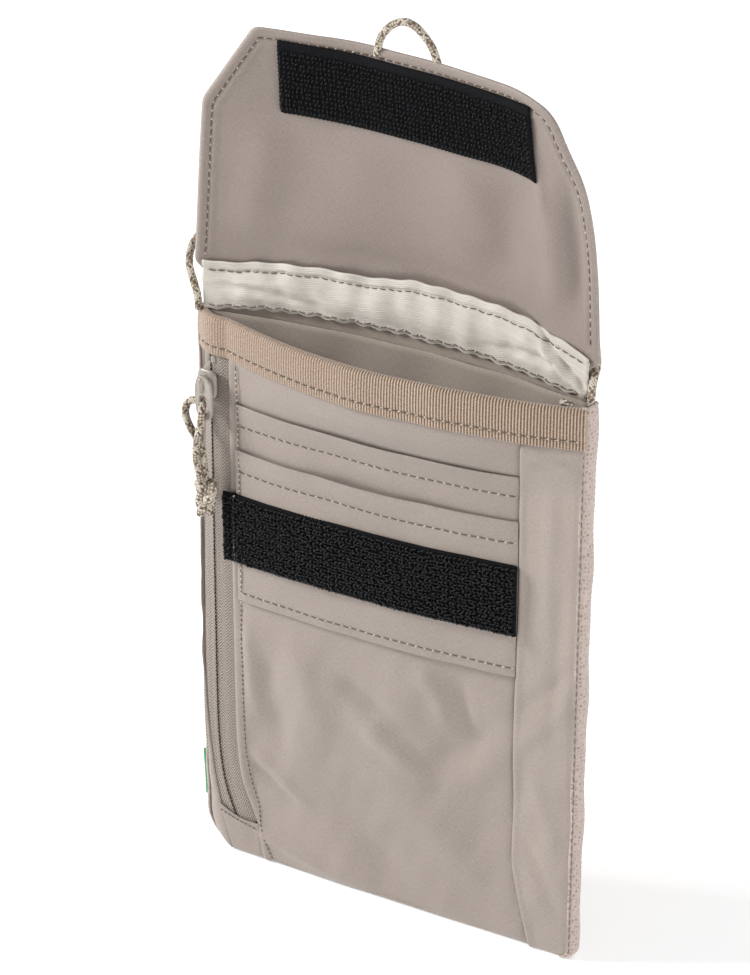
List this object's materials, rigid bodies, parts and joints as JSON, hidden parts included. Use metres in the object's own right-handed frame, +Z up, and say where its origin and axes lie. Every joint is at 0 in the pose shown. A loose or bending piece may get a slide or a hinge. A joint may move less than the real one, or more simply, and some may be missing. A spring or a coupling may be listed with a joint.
{
  "type": "neck pouch wallet",
  "caption": "Flat upright travel pouch with an open flap, card pockets, a hook-and-loop closure, a curved side zip and a braided neck cord.",
  "frame": {"origin": "middle of the pouch's footprint, on the surface it stands on", "axes": "+Z up the pouch from its bottom seam to the open flap's tip; the front with the card pockets faces -Y; +X is to the right seen from the front"},
  "size_m": [0.1246, 0.0486, 0.2601],
  "materials": {
    "body_fabric": "fine plain weave with a slight sheen",
    "lining": "thin plain lining cloth",
    "loop_tape": "looped pile",
    "hook_tape": "hooked pile",
    "binding_tape": "ribbed grosgrain",
    "webbing": "soft ribbed webbing",
    "zip_tape": "herringbone tape",
    "zip_teeth": "moulded coil, satin",
    "slider_coat": "satin paint over metal",
    "cord": "braided, speckled",
    "back_mesh": "spacer mesh",
    "label": "woven folded label"
  },
  "bodies": {
    "pouch": {"front_panel": "body_fabric", "side_panel_right": "body_fabric", "side_panel_left": "body_fabric", "zip_facing": "body_fabric", "card_pocket_rear": "body_fabric", "card_pocket_front": "body_fabric", "loop_strip": "loop_tape", "front_binding": "binding_tape", "zip_tape_right": "zip_tape", "zip_tape_left": "zip_tape", "zip_chain_right": "zip_teeth", "zip_chain_left": "zip_teeth", "zip_top_stop": "slider_coat", "zip_pocket_lining": "lining", "divider": "lining", "divider_band": "webbing", "back_lining": "lining", "back_panel": "back_mesh", "side_seam_left": "lining", "side_seam_right": "lining", "bottom_seam": "lining", "side_label": "label", "neck_cord_left": "cord", "neck_cord_right": "cord", "neck_cord_hank": "cord", "hank_tie": "cord"},
    "flap_base": {"flap_bridge": "body_fabric", "flap_bridge_lining": "body_fabric"},
    "flap": {"flap_outer": "body_fabric", "flap_lining": "body_fabric", "hook_strip": "hook_tape", "flap_pull_loop": "cord"},
    "zip_slider": {"slider_body": "slider_coat", "slider_tab": "slider_coat"},
    "zip_pull": {"pull_cord": "cord", "pull_knot": "cord"}
  },
  "joints": [
    {"name": "flap_base_fold", "type": "hinge", "parent": "pouch", "child": "flap_base", "pos_m": [0, 0.001, 0.1686], "axis": [1, 0, 0], "range_deg": [0, 90], "deforming": ["divider_band"]},
    {"name": "flap_fold", "type": "hinge", "parent": "flap_base", "child": "flap", "pos_m": [0, 0.0003, 0.18035], "axis": [1, 0, 0], "range_deg": [0, 90]},
    {"name": "zip_slide", "type": "slide", "parent": "pouch", "child": "zip_slider", "axis": [0, 0, -1], "range_m": [0, 0.105]},
    {"name": "pull_swing", "type": "hinge", "parent": "zip_slider", "child": "zip_pull", "pos_m": [-0.054, -0.0067, 0.1413], "axis": [0, 1, 0], "range_deg": [0, 75]}
  ]
}
